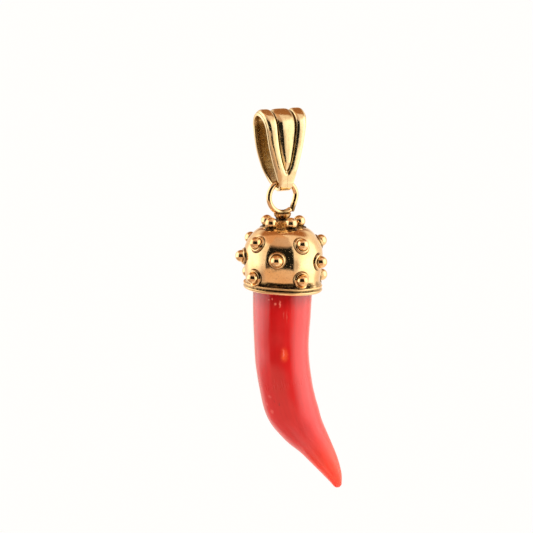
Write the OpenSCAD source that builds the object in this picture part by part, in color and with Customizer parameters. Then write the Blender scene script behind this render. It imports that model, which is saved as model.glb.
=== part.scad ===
// Cornicello horn pendant: a coral horn in a studded gold cap, on a ribbed gold bail.
// Millimetres. +Z is up, -Y is the front and the horn curves toward +X.
// The origin is the inside top of the bail, where a chain bears; the chain runs along X.

/* [Bail] */
// Inner height of the bail's loop, from its crook to its top
loop_h = 9.1; // [8:0.1:12]
// Inner depth of the loop, front leg to rear leg
loop_d = 3.2; // [3:0.1:3.8]
// Inner radius of the bulge low on the rear leg
back_r = 2.8; // [2.4:0.1:3.2]
// Thickness of the gold sheet
sheet_t = 0.4; // [0.3:0.05:0.5]
// Width of the bail across its top fold
bail_top_w = 6.1; // [5:0.1:7]
// Extra half width of the plain rear leg at its middle
rear_extra = 0.25; // [0:0.05:0.4]
// Height that the three ribs stand out of the sheet
rib_h = 0.42; // [0.25:0.01:0.5]
// Height above the ring's wire at which the two grooves meet
groove_low = 1.5; // [1:0.1:2.5]
// Sideways place of each groove at the top fold
groove_top_x = 1.3; // [1:0.05:1.6]

/* [Ring] */
// Mean diameter of the ring soldered on the cap
ring_d = 3.7; // [3.4:0.05:4.2]
// Diameter of the ring's wire
ring_wire = 0.68; // [0.5:0.02:0.8]
// Room between the ring's wire and the bail's crook
crook_slack = 0.46; // [0.4:0.02:0.5]
// Room at each side of the bail where it passes through the ring
tab_gap = 0.06; // [0.04:0.01:0.1]
// Diameter of the collar under the ring
neck_d = 2.2; // [1.8:0.1:2.6]
// Height of that collar above the cap's flat top
neck_h = 1.85; // [1.6:0.05:2.2]
// Depth that the ring's wire is sunk in its collar
neck_sink = 0.2; // [0.1:0.05:0.3]

/* [Cap] */
// Height of the cap, from its mouth to its flat top
cap_h = 8; // [7:0.05:9]
// How far the cap's body swells beyond its mouth
cap_swell = 1.12; // [0.9:0.02:1.5]
// Width of the rim's flange round the mouth
rim_w = 1.15; // [0.9:0.05:1.5]
// Height of the rim, from its lower edge to the top of its bead
rim_h = 0.96; // [0.8:0.02:1.2]
// How far the rim's round lip draws in toward its lower edge
lip_tuck = 0.55; // [0.3:0.05:0.7]
// Thickness of the fine bead on top of the rim
bead_t = 0.22; // [0.16:0.02:0.3]
// Wall of the hollow cap
cap_wall = 0.5; // [0.4:0.05:0.7]
// Degrees that the cap and horn sit out of square under the ring
cap_lean = 1.2; // [0:0.1:3]

/* [Studs] */
// Diameter of each ball
ball_d = 1.52; // [1.2:0.02:1.7]
// Height of a stud's ball centre above the cap's surface
ball_lift = 0.38; // [0.3:0.02:0.5]
// Outer diameter of the wire collar round each ball
collar_d = 2.2; // [2:0.05:2.5]
// Wire of that collar
collar_wire = 0.42; // [0.3:0.02:0.5]
// Studs in each row
studs = 5; // [4:1:5]
// Turn of the first stud away from the front, in degrees
stud_turn = 6; // [0:1:36]
// Radius of the rosette of balls on the flat top
rosette_r = 2.14; // [1.9:0.02:2.4]
// Height of the rosette's ball centres above the flat top
rosette_lift = 0.62; // [0.5:0.02:0.7]
// Height of the solder mound that rises to the ring's collar between those balls
mound_h = 0.85; // [0.5:0.05:1.1]

/* [Horn] */
// Length of the horn below the cap
horn_h = 25.5; // [20:0.25:32]
// Diameter of the horn at the cap's mouth
horn_d = 7.46; // [6.5:0.02:8.5]
// Sideways reach of the horn's tip
horn_reach = 8.27; // [5:0.1:10]
// Radius of the rounded tip
tip_r = 0.5; // [0.3:0.02:0.6]
// Room between the horn and the cap's mouth
seat_gap = 0.08; // [0.05:0.01:0.15]
// Length of the horn's plain stub inside the cap
stub_h = 4.4; // [3:0.1:5.5]

/* [Hidden post] */
// Diameter of the post soldered inside the cap's top
post_d = 1.2; // [0.8:0.1:1.6]
// Depth that the post reaches into the horn's stub
post_reach = 2.8; // [2:0.1:3.2]
// Room round and under the post in its hole
post_gap = 0.08; // [0.05:0.01:0.15]

/* [Hidden] */
GOLD = [0.90, 0.68, 0.30];
CORAL = [0.88, 0.20, 0.15];

// The bail's side profile, in a frame whose centre is the ring's top wire.
crook_r = ring_wire / 2 + crook_slack;
top_r = loop_d / 2;
top_y = top_r - crook_r;
top_z = loop_h - crook_r - top_r;
back_y = loop_d - crook_r - back_r;
back_z = sqrt(pow(back_r - crook_r, 2) - back_y * back_y);
crook_end = atan2(-back_z, -back_y);
crook_out = crook_r + sheet_t;
loop_top_z = top_z + top_r + sheet_t;

// The bail's tab passes through the ring with a gap at each side when the drop swings level.
ring_r = ring_d / 2;
ring_hole_r = ring_r - ring_wire / 2;
tab_half = sqrt(pow(ring_hole_r, 2) - pow(ring_r - crook_r, 2)) - tab_gap;
tab_share = width_share(crook_out / (crook_out + loop_top_z));
tip_half = (tab_half - bail_top_w / 2 * tab_share) / (1 - tab_share);

// The groove lines close to this half width where the ribs end.
groove_min = 0.12;
// Heights over which the ribs rise out of the flat tab, from this share of their full height.
rib_start = -0.6;
rib_full = 1.9;
rib_low = 0.2;
// Height below the meeting of the grooves over which they fill up.
groove_fill = 0.7;
// Degrees past the top fold over which the ribs sink into the plain rear leg.
rib_fade = 65;
// Steps round the crook, the bulge, the rear leg, the top fold and the front leg.
crook_steps = 8;
back_steps = 8;
rear_steps = 4;
fold_steps = 14;
front_steps = 22;
// How much closer the front leg's steps lie near the crook: 1 is even.
front_crowd = 1.5;
// Steps across each rib.
rib_steps = 6;
// How far the swept crook stays inside its true bore.
bore_skin = 0.02;

// The cap's outer half profile: share of the cap's height, share of its greatest radius.
CAP_ROWS = [
    [0.118, 0.985],
    [0.136, 0.956],
    [0.168, 0.944],
    [0.245, 0.960],
    [0.340, 0.982],
    [0.455, 0.998],
    [0.575, 1.000],
    [0.670, 0.983],
    [0.738, 0.945],
    [0.806, 0.888],
    [0.880, 0.800],
    [0.922, 0.735],
    [0.966, 0.640],
    [0.990, 0.540],
    [1.000, 0.420],
];
// The rows of studs: share of the cap's height, turn in pitches.
STUD_ROWS = [
    [0.245, -0.04],
    [0.537, 0.46],
    [0.768, -0.02],
];
// How far each stud of a row was set out of its even place: further round in degrees, and down.
STUD_SHIFTS = [
    [[1.5, 0.1], [10, 0.1], [0, 0], [-5, 0], [-2.5, 0]],
    [[0, 0.36], [0, 0.1], [0, 0], [0, 0], [0, 0]],
    [[1, 0], [10, 0.2], [0, 0], [-9, 0.15], [-2, 0]],
];
mouth_r = horn_d / 2 + seat_gap;
cap_r = mouth_r + cap_swell;
rim_r = mouth_r + rim_w;
// Height at which the rim's lip is widest, and degrees between the points of its tucked edge.
lip_z = rim_h / 3;
lip_step = 18;
// Where the band over the lip starts and how far it stands back.
band_z = lip_z * 1.4;
band_in = 0.06;
// Foot radius of the solder mound, a little past the edge of the flat top.
mound_spread = 0.25;
mound_r = CAP_ROWS[len(CAP_ROWS) - 1][1] * cap_r + mound_spread;
ring_drop = ring_d + ring_wire / 2 - neck_sink;
cap_z = -(ring_drop + neck_h + cap_h);

// The horn's sections: share of its length, share of its reach, share of its top radius.
HORN_ROWS = [
    [0.00, 0.000, 1.000],
    [0.12, -0.005, 0.970],
    [0.25, -0.002, 0.925],
    [0.37, 0.025, 0.905],
    [0.50, 0.098, 0.890],
    [0.58, 0.174, 0.877],
    [0.64, 0.275, 0.816],
    [0.70, 0.399, 0.704],
    [0.76, 0.551, 0.580],
    [0.82, 0.688, 0.479],
    [0.88, 0.816, 0.376],
    [0.94, 0.927, 0.256],
    [0.985, 0.985, 0.140],
];
horn_steps = 3;
horn_sides = 32;
stub_bevel = 0.3;
tip_steps = 4;
// Degrees that the horn's sides close toward each other where its round tip begins.
tip_taper = 18;

// Where the ring's top wire lies, and so the axis on which the drop swings.
hinge_at = [0, -top_y, -(loop_top_z - sheet_t)];

$fn = 48;

// Width share at a share of the bail's height: straight, with a slight fullness at mid height.
function width_share(s) = s + 0.1 * pow(sin(180 * s), 2);

// A value from 0 to 1 as x goes from a to b, easing at both ends.
function ease(x, a, b) =
    let (t = min(1, max(0, (x - a) / (b - a))))
    t * t * (3 - 2 * t);

// One place on the loop's inner face: [y, z, angle of its outward normal, 1 on the rear side].
function on_arc(cy, cz, r, a, rear) = [cy + r * cos(a), cz + r * sin(a), a, rear];

// The whole loop, from the front of the crook, round the rear leg and over the top.
function loop_path() = concat(
    [for (i = [0:crook_steps - 1])
        let (a = -180 + i * (180 + crook_end) / crook_steps)
        on_arc(0, 0, crook_r - bore_skin, a, 0)],
    [for (i = [0:back_steps - 1])
        on_arc(back_y, back_z, back_r, crook_end - i * crook_end / back_steps, 1)],
    [for (i = [0:rear_steps - 1])
        [top_y + top_r, back_z + i * (top_z - back_z) / rear_steps, 0, 1]],
    [for (i = [0:fold_steps - 1])
        let (a = i * 180 / fold_steps)
        on_arc(top_y, top_z, top_r, a, a < 90 ? 1 : 0)],
    [for (i = [0:front_steps - 1])
        let (share = pow(1 - i / front_steps, front_crowd))
        [-crook_r + bore_skin * (1 - share), top_z * share, 180, 0]]
);

// Half width of the bail at a height, on the front or the rear.
function half_width(z, rear) =
    let (s = min(1, max(0, (z + crook_out) / (crook_out + loop_top_z))))
    tip_half + (bail_top_w / 2 - tip_half) * width_share(s) + rear * rear_extra * sin(180 * s);

// Sideways place of a groove at a height.
function groove_x(z) =
    let (s = min(1, max(0, (z - groove_low) / (loop_top_z - groove_low))))
    groove_min + (groove_top_x - groove_min) * pow(sin(90 * s), 0.7);

// How far the ribs stand out at a place on the loop: they sink to nothing under the crook
// and behind the top fold.
function rib_rise(p) =
    p[3] == 0
        ? rib_h * (rib_low + (1 - rib_low) * ease(p[1], rib_start, rib_full))
            * (p[2] < 0 ? ease(-p[2], 100, 150) : 1)
        : p[2] > 90 - rib_fade ? rib_h * ease(p[2], 90 - rib_fade, 90) : 0;

// 1 where the ribs have run together into one low flat-topped form, 0 where they part.
function ribs_joined(p) = p[3] == 0 ? 1 - ease(p[1], groove_low - groove_fill, groove_low) : 0;

// The flat-topped form across the tab: its height at a share of the half width.
function tab_form(share) = sqrt(max(0, 1 - pow(abs(share), 4)));

// A point of a section, at x across the bail and out from the loop's inner face.
function section_point(p, x, out) = [x, p[0] + out * cos(p[2]), p[1] + out * sin(p[2])];

// Points across one round rib from x0 to x1, with the first end only.
function rib_points(p, x0, x1, rise, w) = [
    for (i = [0:rib_steps - 1])
        let (
            a = 180 - i * 180 / rib_steps,
            x = (x0 + x1) / 2 + (x1 - x0) / 2 * cos(a),
            joined = ribs_joined(p)
        )
        section_point(p, x, sheet_t + (1 - joined) * rise * sin(a) + joined * rib_rise(p) * tab_form(x / w))
];

// One closed section of the bail: three ribs outside, the plain sheet inside.
function bail_section(p) =
    let (
        w = half_width(p[1] + sheet_t * sin(p[2]), p[3]),
        g = min(groove_x(p[1]), w - 3 * groove_min),
        rise = rib_rise(p),
        mid_rise = rise * min(1, (g - groove_min) / rib_h)
    )
    concat(
        [for (x = [0, -w]) section_point(p, x, 0)],
        rib_points(p, -w, -g, rise, w),
        rib_points(p, -g, g, mid_rise, w),
        rib_points(p, g, w, rise, w),
        [for (out = [sheet_t, 0]) section_point(p, w, out)]
    );

// Quads between neighbouring sections of a sweep, each cut into two triangles, mirrored left
// to right.
function band_faces(rings, sides, closed) = [
    for (i = [0:rings - (closed ? 1 : 2)])
        for (j = [0:sides - 1])
            let (
                a = i * sides + j,
                b = i * sides + (j + 1) % sides,
                c = ((i + 1) % rings) * sides + (j + 1) % sides,
                d = ((i + 1) % rings) * sides + j
            )
            each (j < sides / 2 ? [[a, b, c], [a, c, d]] : [[a, b, d], [b, c, d]])
];

module bail_sweep() {
    path = loop_path();
    sections = [for (p = path) bail_section(p)];
    polyhedron(
        points = [for (s = sections) each s],
        faces = band_faces(len(sections), len(sections[0]), true),
        convexity = 10
    );
}

module bail() {
    color(GOLD)
    translate(hinge_at)
    difference() {
        bail_sweep();
        rotate([0, 90, 0])
        cylinder(h = bail_top_w, r = crook_r, center = true);
    }
}

// Places what follows in the cap's own frame: origin at the middle of its mouth.
module in_cap_frame() {
    translate(hinge_at)
    translate([0, 0, cap_z])
    rotate([0, cap_lean, 0])
    children();
}

// The cap's profile between its mouth and top, drawn in by a wall.
function cap_profile(wall) = [
    for (row = CAP_ROWS) [cap_r * row[1] - wall, (cap_h - wall) * row[0]]
];

// The radius and slope of the cap's surface at a share of its height.
function cap_row_at(share) = [for (i = [0:len(CAP_ROWS) - 2]) if (CAP_ROWS[i + 1][0] >= share) i][0];
function cap_surface(share) =
    let (
        i = cap_row_at(share),
        a = CAP_ROWS[i],
        b = CAP_ROWS[i + 1],
        t = (share - a[0]) / (b[0] - a[0])
    )
    [
        cap_r * (a[1] + t * (b[1] - a[1])),
        atan2(-cap_r * (b[1] - a[1]), cap_h * (b[0] - a[0]))
    ];

// One stud along +Z: a ball in a round wire collar, with its root below the surface.
module stud() {
    translate([0, 0, ball_lift])
    sphere(d = ball_d);
    rotate_extrude()
    translate([(collar_d - collar_wire) / 2, collar_wire / 4])
    circle(d = collar_wire);
    translate([0, 0, -cap_wall / 2])
    cylinder(h = cap_wall / 2 + collar_wire / 4, d = collar_d - collar_wire);
}

module stud_rows() {
    for (i = [0:len(STUD_ROWS) - 1]) {
        for (k = [0:studs - 1]) {
            shift = STUD_SHIFTS[i][k];
            share = STUD_ROWS[i][0] - shift[1] / cap_h;
            at = cap_surface(share);
            rotate([0, 0, stud_turn - 90 + (k + STUD_ROWS[i][1]) * 360 / studs + shift[0]])
            translate([at[0], 0, cap_h * share])
            rotate([0, 90 - at[1], 0])
            stud();
        }
    }
}

// The rim's section: a lip drawn in below, a plain band over it, and a fine bead on top.
function rim_profile() = concat(
    [[mouth_r, 0]],
    [for (a = [-90:lip_step:0]) [rim_r - lip_tuck + lip_tuck * cos(a), lip_z * (1 + sin(a))]],
    [for (z = [band_z, rim_h - bead_t / 2]) [rim_r - band_in, z]],
    [[mouth_r, rim_h - bead_t / 2]]
);

module rim() {
    rotate_extrude() {
        polygon(rim_profile());
        translate([rim_r - band_in - bead_t / 3, rim_h - bead_t / 2])
        circle(d = bead_t);
    }
}

module cap_body() {
    rotate_extrude()
    polygon(concat([[0, lip_z], [cap_r * CAP_ROWS[0][1], lip_z]], cap_profile(0), [[0, cap_h]]));
}

module cap_cavity() {
    inner = cap_profile(cap_wall);
    rotate_extrude()
    polygon(concat([[0, rim_h / 2], [inner[0][0], rim_h / 2]], inner, [[0, cap_h - cap_wall]]));
    translate([0, 0, -rim_h])
    cylinder(h = 2.5 * rim_h, r = mouth_r);
}

module post() {
    translate([0, 0, stub_h - post_reach])
    cylinder(h = cap_h - cap_wall / 2 - stub_h + post_reach, d = post_d);
}

// The five balls round the ring's collar, each on a short root.
module rosette() {
    for (k = [0:studs - 1]) {
        rotate([0, 0, stud_turn - 90 + k * 360 / studs])
        translate([rosette_r, 0, 0]) {
            translate([0, 0, rosette_lift])
            sphere(d = ball_d);
            translate([0, 0, -cap_wall / 2])
            cylinder(h = cap_wall / 2 + rosette_lift / 2, d = ball_d * 0.7);
        }
    }
}

// The ring's collar, with the solder mound that flows from it between the balls.
module neck() {
    translate([0, 0, -cap_wall / 2])
    cylinder(h = neck_h + cap_wall / 2, d = neck_d);
    rotate_extrude()
    polygon([[0, -cap_wall / 4], [mound_r, -cap_wall / 4], [mound_r, 0], [neck_d / 2, mound_h], [0, mound_h]]);
}

// The upright ring, the collar that it is soldered in and the rosette, below the hinge axis.
module ring_and_top() {
    translate(hinge_at) {
        translate([0, 0, -ring_r])
        rotate([90, 0, 0])
        rotate_extrude()
        translate([ring_r, 0])
        circle(d = ring_wire, $fn = 24);
        translate([0, 0, -ring_drop - neck_h]) {
            neck();
            rosette();
        }
    }
}

module cap() {
    color(GOLD) {
        in_cap_frame() {
            difference() {
                union() {
                    cap_body();
                    rim();
                    stud_rows();
                }
                cap_cavity();
            }
            post();
        }
        ring_and_top();
    }
}

// A smooth value through the horn's table, at row number t, from one column.
function horn_row(i) = HORN_ROWS[min(len(HORN_ROWS) - 1, max(0, i))];
function horn_at(t, col) =
    let (
        i = floor(t),
        f = t - i,
        a = horn_row(i - 1)[col],
        b = horn_row(i)[col],
        c = horn_row(i + 1)[col],
        d = horn_row(i + 2)[col]
    )
    b + f * ((c - a) / 2 + f * (a - 2.5 * b + 2 * c - d / 2 + f * (1.5 * (b - c) + (d - a) / 2)));

// The middle and radius of the horn at row number t: [x, z, r].
function horn_mid(t) = [horn_reach * horn_at(t, 1), -horn_h * horn_at(t, 0), horn_d / 2 * horn_at(t, 2)];

// A ring of points round the middle c, in the plane across the direction a from straight down.
function horn_ring(c, a, r) = [
    for (k = [0:horn_sides - 1])
        let (b = k * 360 / horn_sides)
        [c[0] + r * cos(b) * cos(a), r * sin(b), c[1] + r * cos(b) * sin(a)]
];

function horn_heading(t) =
    let (p = horn_mid(max(0, t - 0.5)), q = horn_mid(min(len(HORN_ROWS) - 1, t + 0.5)))
    atan2(q[0] - p[0], p[1] - q[1]);

module horn() {
    rows = len(HORN_ROWS) - 1;
    bore_r = post_d / 2 + post_gap;
    bore_z = stub_h - post_reach - post_gap;
    end = horn_mid(rows);
    end_turn = horn_heading(rows);
    tip = max(tip_r, end[2]) / cos(tip_taper);
    stub = [
        horn_ring([0, bore_z], 0, bore_r),
        horn_ring([0, stub_h], 0, bore_r),
        horn_ring([0, stub_h], 0, horn_d / 2 - stub_bevel),
        horn_ring([0, stub_h - stub_bevel], 0, horn_d / 2),
    ];
    body = [
        for (i = [0:rows * horn_steps])
            let (t = i / horn_steps, c = horn_mid(t))
            horn_ring(c, horn_heading(t), c[2])
    ];
    cone_end = [
        for (i = [1:tip_steps])
            let (a = tip_taper + i * (80 - tip_taper) / tip_steps, run = tip * (sin(a) - sin(tip_taper)))
            horn_ring(
                [end[0] + run * sin(end_turn), end[1] - run * cos(end_turn)],
                end_turn,
                end[2] * cos(a) / cos(tip_taper)
            )
    ];
    rings = concat(stub, body, cone_end);
    last = (len(rings) - 1) * horn_sides;
    color(CORAL)
    in_cap_frame()
    polyhedron(
        points = [for (r = rings) each r],
        faces = concat(
            [[for (k = [0:horn_sides - 1]) k]],
            [for (f = band_faces(len(rings), horn_sides, false)) [f[2], f[1], f[0]]],
            [[for (k = [horn_sides - 1:-1:0]) last + k]]
        ),
        convexity = 10
    );
}

bail();
cap();
horn();
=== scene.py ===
"""Blender scene of the cornicello horn pendant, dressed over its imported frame.

Shapes are worked out in millimetres from named sizes and turned into metres when a mesh is made.
+Z is up, -Y the front and +X the side that the horn curves toward.
"""

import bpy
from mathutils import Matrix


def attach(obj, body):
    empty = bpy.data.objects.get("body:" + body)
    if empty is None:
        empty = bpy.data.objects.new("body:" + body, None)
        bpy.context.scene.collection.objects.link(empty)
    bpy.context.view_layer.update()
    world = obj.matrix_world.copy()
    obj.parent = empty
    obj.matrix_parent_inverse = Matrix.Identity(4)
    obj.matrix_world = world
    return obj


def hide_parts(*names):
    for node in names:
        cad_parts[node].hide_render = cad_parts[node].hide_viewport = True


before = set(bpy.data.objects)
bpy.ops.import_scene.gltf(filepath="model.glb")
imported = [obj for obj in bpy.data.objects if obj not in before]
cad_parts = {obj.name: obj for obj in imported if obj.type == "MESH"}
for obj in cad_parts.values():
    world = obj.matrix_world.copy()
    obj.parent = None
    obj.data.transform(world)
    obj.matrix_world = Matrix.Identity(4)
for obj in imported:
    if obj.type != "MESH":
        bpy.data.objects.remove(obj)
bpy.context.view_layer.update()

import math

import bpy
from mathutils import Matrix, Vector, noise
from mathutils.bvhtree import BVHTree

MM = 0.001

# Sizes in millimetres: the bail
LOOP_H = 9.1
LOOP_D = 3.2
BACK_R = 2.8
SHEET_T = 0.4
BAIL_TOP_W = 6.1
REAR_EXTRA = 0.25
RIB_H = 0.42
GROOVE_LOW = 1.5
GROOVE_TOP_X = 1.3
GROOVE_MIN = 0.12
GROOVE_EDGE = 3 * GROOVE_MIN
GROOVE_FILL = 0.65
RIB_START = -0.6
RIB_FULL = 1.9
RIB_LOW = 0.2
RIB_FADE = 65.0
EDGE_ROUND = 0.07
# The ring and its collar
RING_D = 3.7
RING_WIRE = 0.68
CROOK_SLACK = 0.46
TAB_GAP = 0.06
NECK_D = 2.2
NECK_H = 1.85
NECK_SINK = 0.2
# The cap. LIP_MID is a share of the rim's height, and BAND_LIFT a share of the lip's middle.
CAP_H = 8.0
CAP_SWELL = 1.12
CAP_WALL = 0.5
CAP_LEAN = 1.2
RIM_W = 1.15
RIM_H = 0.96
LIP_TUCK = 0.55
LIP_MID = 0.40
BAND_LIFT = 1.15
BEAD_T = 0.25
BEAD_LOW = 0.03
BAND_IN = 0.06
# The studs and the rosette
BALL_D = 1.52
BALL_LIFT = 0.38
STUDS = 5
STUD_TURN = 6.0
ROSETTE_R = 2.14
ROSETTE_LIFT = 0.62
MOUND_H = 0.85
MOUND_SPREAD = 0.25
# The horn
HORN_H = 25.5
HORN_D = 7.46
HORN_REACH = 8.27
TIP_R = 0.5
SEAT_GAP = 0.08
STUB_H = 4.4
STUB_BEVEL = 0.3
TIP_TAPER = 18.0

# The cap's outer half profile: share of its height, share of its greatest radius.
CAP_ROWS = [
    (0.118, 0.985), (0.136, 0.956), (0.168, 0.944), (0.245, 0.960), (0.340, 0.982),
    (0.455, 0.998), (0.575, 1.000), (0.670, 0.983), (0.738, 0.945), (0.806, 0.888),
    (0.880, 0.800), (0.922, 0.735), (0.966, 0.640), (0.990, 0.540), (1.000, 0.420),
]
# The rows of studs: share of the cap's height, turn in pitches.
STUD_ROWS = [(0.245, -0.04), (0.537, 0.46), (0.768, -0.02)]
# How far each stud was set out of its even place: further round in degrees, and down.
STUD_SHIFTS = [
    [(1.5, 0.1), (10, 0.1), (0, 0), (-5, 0), (-2.5, 0)],
    [(0, 0.36), (0, 0.1), (0, 0), (0, 0), (0, 0)],
    [(1, 0), (10, 0.2), (0, 0), (-9, 0.15), (-2, 0)],
]
# The horn's sections: share of its length, share of its reach, share of its top radius.
HORN_ROWS = [
    (0.00, 0.000, 1.000), (0.12, -0.005, 0.970), (0.25, -0.002, 0.925), (0.37, 0.025, 0.905),
    (0.50, 0.098, 0.890), (0.58, 0.174, 0.877), (0.64, 0.275, 0.816), (0.70, 0.399, 0.704),
    (0.76, 0.551, 0.580), (0.82, 0.688, 0.479), (0.88, 0.816, 0.376), (0.94, 0.927, 0.256),
    (0.985, 0.985, 0.140),
]

CROOK_R = RING_WIRE / 2 + CROOK_SLACK
TOP_R = LOOP_D / 2
TOP_Y = TOP_R - CROOK_R
TOP_Z = LOOP_H - CROOK_R - TOP_R
BACK_Y = LOOP_D - CROOK_R - BACK_R
BACK_Z = math.sqrt((BACK_R - CROOK_R) ** 2 - BACK_Y**2)
CROOK_END = math.degrees(math.atan2(-BACK_Z, -BACK_Y))
CROOK_OUT = CROOK_R + SHEET_T
LOOP_TOP_Z = TOP_Z + TOP_R + SHEET_T
RING_R = RING_D / 2
RING_HOLE_R = RING_R - RING_WIRE / 2
TAB_HALF = math.sqrt(RING_HOLE_R**2 - (RING_R - CROOK_R) ** 2) - TAB_GAP
MOUTH_R = HORN_D / 2 + SEAT_GAP
CAP_R = MOUTH_R + CAP_SWELL
RIM_R = MOUTH_R + RIM_W
LIP_Z = RIM_H * LIP_MID
BAND_Z = LIP_Z * BAND_LIFT
MOUND_R = CAP_ROWS[-1][1] * CAP_R + MOUND_SPREAD
RING_DROP = RING_D + RING_WIRE / 2 - NECK_SINK
CAP_Z = -(RING_DROP + NECK_H + CAP_H)
HINGE = Vector((0, -TOP_Y, -(LOOP_TOP_Z - SHEET_T)))

# The cap's own frame, whose origin is the middle of its mouth, and the neck's on the flat top.
CAP_FRAME = (
    Matrix.Translation(HINGE + Vector((0, 0, CAP_Z)))
    @ Matrix.Rotation(math.radians(CAP_LEAN), 4, "Y")
)
NECK_FRAME = Matrix.Translation(HINGE - Vector((0, 0, RING_DROP + NECK_H)))

# The photograph's view
VIEW_TURN = -24.0
VIEW_RISE = 8.4
VIEW_DISTANCE = 1.0
PIXELS_PER_MM = 8.0
PICTURE = 533
SENSOR = 36.0
CLIP = (0.05, 20.0)
# The picture's middle, right of and above the hinge as the camera sees it, in millimetres.
AIM_RIGHT = -2.01
AIM_UP = -10.63


# How far before and after a place on a path its heading is taken
HEADING_STEP = 0.5


def sind(a):
    return math.sin(math.radians(a))


def cosd(a):
    return math.cos(math.radians(a))


def ease(x, a, b):
    t = min(1.0, max(0.0, (x - a) / (b - a)))
    return t * t * (3 - 2 * t)


def mix(a, b, t):
    return a + (b - a) * t


def smooth_row(rows, t, col):
    """A smooth value through a table at row number t."""
    i = min(len(rows) - 1, max(0, math.floor(t)))
    f = t - i

    def row(k):
        return rows[min(len(rows) - 1, max(0, k))][col]

    a, b, c, d = row(i - 1), row(i), row(i + 1), row(i + 2)
    return b + f * ((c - a) / 2 + f * (a - 2.5 * b + 2 * c - d / 2 + f * (1.5 * (b - c) + (d - a) / 2)))


# How far a seed moves the place at which the noise is read
SEED_WAY = (1.0, 2.3, -1.7)


def unevenness(p, size, height, seed):
    """A soft hand-made waviness at a place, in millimetres."""
    q = Vector(p) / size + Vector([way * seed for way in SEED_WAY])
    return height * noise.noise(q)


VIEW_BACK = Vector((sind(VIEW_TURN) * cosd(VIEW_RISE), -cosd(VIEW_TURN) * cosd(VIEW_RISE), sind(VIEW_RISE)))
VIEW_RIGHT = Vector((cosd(VIEW_TURN), sind(VIEW_TURN), 0))
VIEW_UP = VIEW_BACK.cross(VIEW_RIGHT)
VIEW_AIM = HINGE + VIEW_RIGHT * AIM_RIGHT + VIEW_UP * AIM_UP
VIEW_FROM = VIEW_AIM + VIEW_BACK * VIEW_DISTANCE / MM


def seen_at(tree, x, y):
    """The place in millimetres where the camera's sight through picture point x, y meets a shape."""
    side = (x - PICTURE / 2) / PIXELS_PER_MM
    lift = (PICTURE / 2 - y) / PIXELS_PER_MM
    target = VIEW_AIM + VIEW_RIGHT * side + VIEW_UP * lift
    return tree.ray_cast(VIEW_FROM, (target - VIEW_FROM).normalized())[0]


def make_mesh(name, points, faces, sharp, place, data):
    """A smooth-shaded mesh from points in millimetres. data maps a name to values per point."""
    mesh = bpy.data.meshes.new(name)
    mesh.from_pydata([(place @ Vector(p)) * MM for p in points], [], faces)
    mesh.validate()
    mesh.update()
    for key, values in data.items():
        kind = "FLOAT" if isinstance(values[0], (int, float)) else "FLOAT_VECTOR"
        layer = mesh.attributes.new(key, kind, "POINT")
        if kind == "FLOAT":
            layer.data.foreach_set("value", values)
        else:
            layer.data.foreach_set("vector", [c for v in values for c in v])
    mesh.polygons.foreach_set("use_smooth", [True] * len(mesh.polygons))
    mesh.set_sharp_from_angle(angle=math.radians(sharp))
    return mesh


def make_piece(mesh, material, body, node):
    """A piece that rides on a body and stands for a CAD node."""
    mesh.materials.append(material)
    piece = bpy.data.objects.new(mesh.name, mesh)
    bpy.context.scene.collection.objects.link(piece)
    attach(piece, body)
    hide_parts(node)


class Build:
    """Collects points, faces and a value per point for one piece: painted shade, and below 0 brushing."""

    def __init__(self):
        self.points, self.faces, self.shade_and_brushing = [], [], []

    def add(self, points, faces, shade_and_brushing):
        """The painted shade, below 0 the brushing, is one value for all the points, or one for each."""
        first = len(self.points)
        self.points += [Vector(p) for p in points]
        self.faces += [[first + i for i in f] for f in faces]
        if isinstance(shade_and_brushing, (int, float)):
            shade_and_brushing = [shade_and_brushing] * len(points)
        self.shade_and_brushing += list(shade_and_brushing)


def grid_faces(rings, sides, close_rings=False, flip=False):
    """Quads between neighbouring rings of points, each ring closed."""
    faces = []
    for i in range(rings if close_rings else rings - 1):
        for j in range(sides):
            a = i * sides + j
            b = i * sides + (j + 1) % sides
            c = ((i + 1) % rings) * sides + (j + 1) % sides
            d = ((i + 1) % rings) * sides + j
            faces.append([d, c, b, a] if flip else [a, b, c, d])
    return faces


def lathe(profile, sides):
    """A profile of (radius, height, ...) rows turned round Z."""
    points = []
    for row in profile:
        for k in range(sides):
            a = 2 * math.pi * k / sides
            points.append(Vector((row[0] * math.cos(a), row[0] * math.sin(a), row[1])))
    return points


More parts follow.
